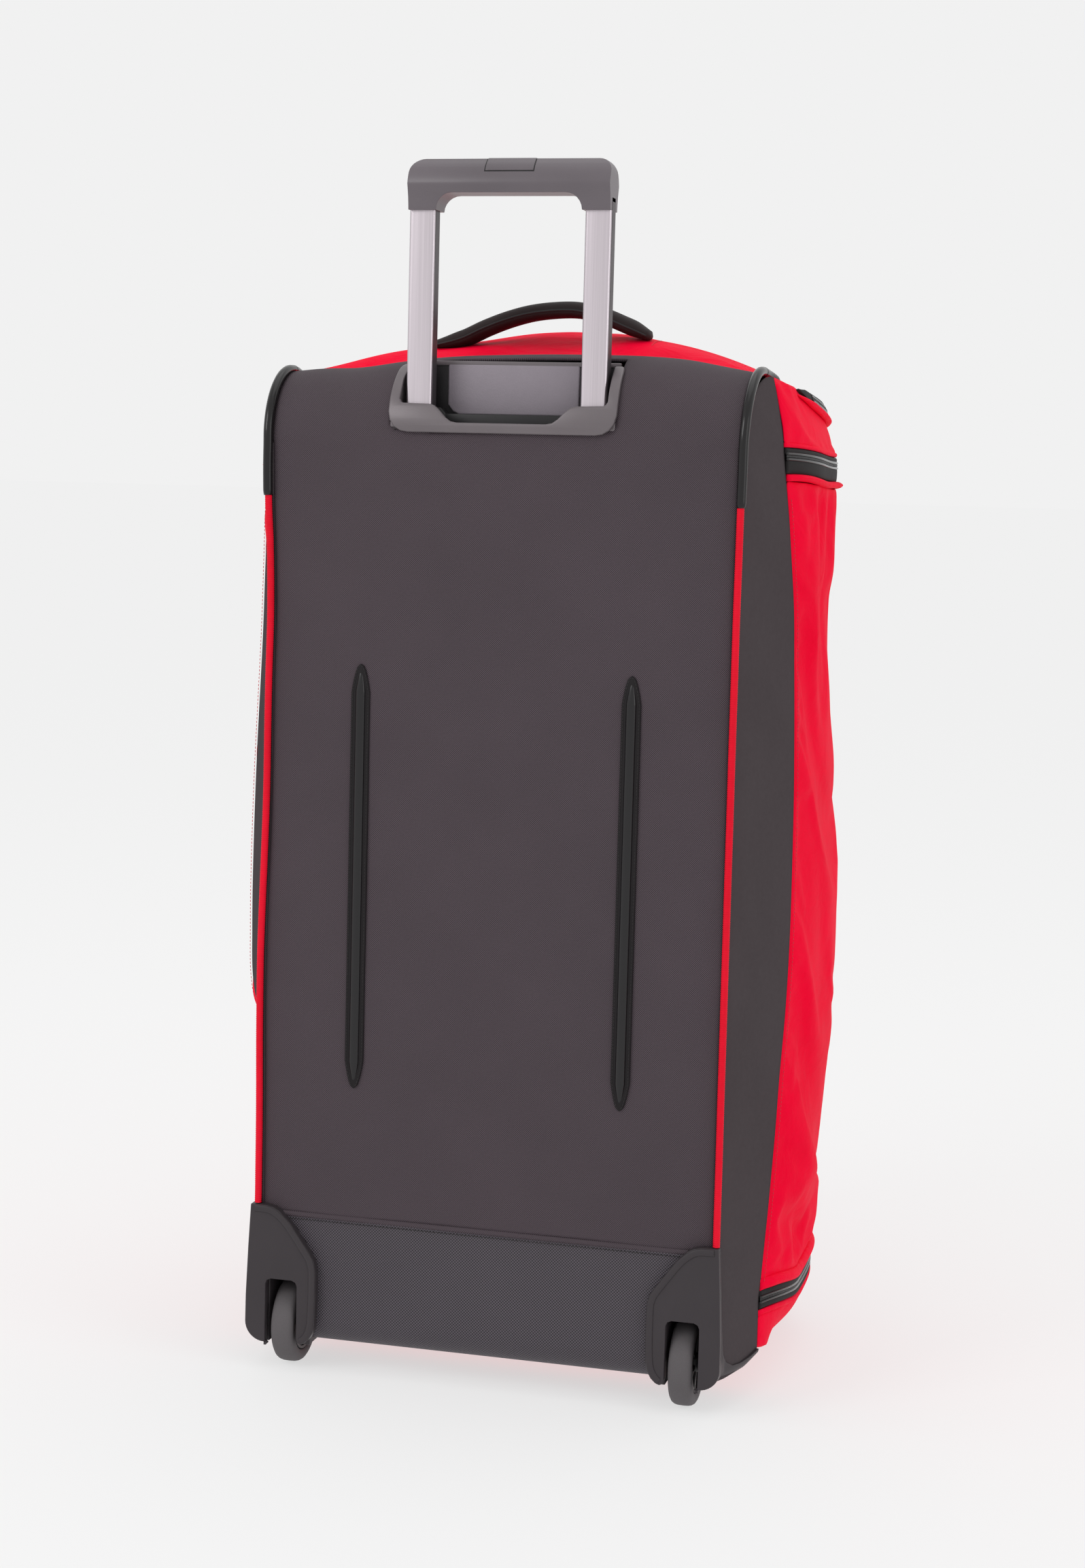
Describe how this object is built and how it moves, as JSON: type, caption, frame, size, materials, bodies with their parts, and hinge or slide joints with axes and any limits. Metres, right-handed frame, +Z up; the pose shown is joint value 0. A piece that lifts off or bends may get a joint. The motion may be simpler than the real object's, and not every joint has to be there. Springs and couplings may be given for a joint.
{
  "type": "rolling duffel bag",
  "caption": "Upright rolling duffel with a boarded back, telescoping trolley handle, two recessed wheels, zipped lid and end pockets, grab handle and carry handles.",
  "frame": {"origin": "centre of the footprint box at floor level", "axes": "+Z up the standing bag towards the trolley grip, -Y the trolley side, +Y the lid side, +X right when facing the trolley side"},
  "size_m": [0.4786, 0.3998, 0.947],
  "materials": {
    "back_fabric": "matte ballistic twill",
    "guard_fabric": "coated coarse twill, slight sheen",
    "tarpaulin": "smooth coated tarpaulin, semi-matte",
    "red_fabric": "smooth coated polyester, soft sheen",
    "red_piping": "ribbed woven piping",
    "black_tape": "woven zip tape with nylon coil",
    "black_piping": "glossy vinyl edge cord",
    "rib_vinyl": "glossy half-round vinyl bead on a stitched strip",
    "plastic": "fine-textured moulded plastic",
    "grip": "soft-touch satin plastic",
    "aluminium": "anodised satin",
    "steel": "drawn steel",
    "rubber": "matte polyurethane tread",
    "hub": "moulded nylon",
    "lining": "plain woven lining",
    "board": "fibre board",
    "handle_leather": "padded woven cover with stitched edges",
    "webbing": "ribbed webbing",
    "zinc": "black nickel"
  },
  "bodies": {
    "root": {"wheel_housing_left": "plastic", "wheel_housing_right": "plastic", "wheel_axle_left": "steel", "wheel_axle_right": "steel", "foot_left": "plastic", "foot_right": "plastic", "back_panel": "back_fabric", "lower_guard": "guard_fabric", "back_board": "board", "rib_strip_left": "rib_vinyl", "rib_strip_right": "rib_vinyl", "piping_left": "red_piping", "piping_right": "red_piping", "corner_piping_left": "black_piping", "corner_piping_right": "black_piping", "gusset_left": "tarpaulin", "gusset_right": "tarpaulin", "main_body_panel": "red_fabric", "bottom_end_pocket": "red_fabric", "upper_zip": "black_tape", "lower_zip": "black_tape", "top_divider": "lining", "bottom_divider": "lining", "main_zip_tape": "black_tape", "handle_housing": "plastic", "outer_tube_left": "aluminium", "outer_tube_right": "aluminium", "tube_bracket": "plastic", "upper_zip_slider": "zinc", "lower_zip_slider": "zinc"},
    "wheel_left": {"wheel_tyre_left": "rubber", "wheel_hub_left": "hub"},
    "wheel_right": {"wheel_tyre_right": "rubber", "wheel_hub_right": "hub"},
    "trolley": {"inner_tube_left": "aluminium", "inner_tube_right": "aluminium", "slide_block_left": "plastic", "slide_block_right": "plastic", "grip": "grip", "button_spring": "steel"},
    "button": {"release_button": "grip", "push_rod_left": "steel", "push_rod_right": "steel"},
    "pin_left": {"lock_pin_left": "steel"},
    "pin_right": {"lock_pin_right": "steel"},
    "top_flap": {"top_end_pocket": "red_fabric", "rim_zip": "black_tape"},
    "top_grab": {"top_handle": "handle_leather"},
    "lid": {"lid_panel": "red_fabric", "lid_zip_tape": "black_tape", "main_zip_slider": "zinc"},
    "carry_left": {"carry_handle_left": "webbing"},
    "carry_right": {"carry_handle_right": "webbing"},
    "main_pull": {"main_zip_pull": "zinc"},
    "upper_pull": {"upper_zip_pull": "zinc"},
    "lower_pull": {"lower_zip_pull": "zinc"}
  },
  "joints": [
    {"name": "wheel_left_spin", "type": "hinge", "parent": "root", "child": "wheel_left", "pos_m": [-0.1615, -0.166, 0.034], "axis": [1, 0, 0], "continuous": true},
    {"name": "wheel_right_spin", "type": "hinge", "parent": "root", "child": "wheel_right", "pos_m": [0.1615, -0.166, 0.034], "axis": [1, 0, 0], "continuous": true},
    {"name": "trolley_slide", "type": "slide", "parent": "root", "child": "trolley", "axis": [0, 0, 1], "range_m": [-0.144, 0.16]},
    {"name": "button_press", "type": "slide", "parent": "trolley", "child": "button", "axis": [0, 0, -1], "range_m": [0, 0.0035], "stiffness_N_per_m": 900, "springref_m": -0.004, "deforming": ["button_spring"]},
    {"name": "pin_left_pull", "type": "slide", "parent": "trolley", "child": "pin_left", "axis": [1, 0, 0], "range_m": [0, 0.003]},
    {"name": "pin_right_pull", "type": "slide", "parent": "trolley", "child": "pin_right", "axis": [-1, 0, 0], "range_m": [0, 0.003]},
    {"name": "top_flap_fold", "type": "hinge", "parent": "root", "child": "top_flap", "pos_m": [0, -0.128, 0.803], "axis": [1, 0, 0], "range_deg": [0, 70]},
    {"name": "top_grab_swing", "type": "hinge", "parent": "top_flap", "child": "top_grab", "pos_m": [0, -0.078, 0.82736], "axis": [1, 0, 0], "range_deg": [-40, 45]},
    {"name": "lid_fold", "type": "hinge", "parent": "root", "child": "lid", "pos_m": [0, 0.1545, 0.125], "axis": [-1, 0, 0], "range_deg": [0, 90]},
    {"name": "carry_left_swing", "type": "hinge", "parent": "lid", "child": "carry_left", "pos_m": [-0.082, 0.16525, 0.41], "axis": [0, 0, 1], "range_deg": [-50, 50]},
    {"name": "carry_right_swing", "type": "hinge", "parent": "lid", "child": "carry_right", "pos_m": [0.082, 0.16525, 0.41], "axis": [0, 0, 1], "range_deg": [-50, 50]},
    {"name": "main_pull_swing", "type": "hinge", "parent": "lid", "child": "main_pull", "pos_m": [0, 0.16033, 0.68932], "axis": [1, 0, 0], "range_deg": [0, 140]},
    {"name": "upper_pull_swing", "type": "hinge", "parent": "root", "child": "upper_pull", "pos_m": [0, 0.15216, 0.72739], "axis": [1, 0, 0], "range_deg": [0, 140]},
    {"name": "lower_pull_swing", "type": "hinge", "parent": "root", "child": "lower_pull", "pos_m": [0, 0.15361, 0.07351], "axis": [1, 0, 0], "range_deg": [0, 140]}
  ],
  "couplings": [
    {"joint": "pin_left_pull", "follows": "button_press", "ratio": 0.857},
    {"joint": "pin_right_pull", "follows": "button_press", "ratio": 0.857}
  ]
}
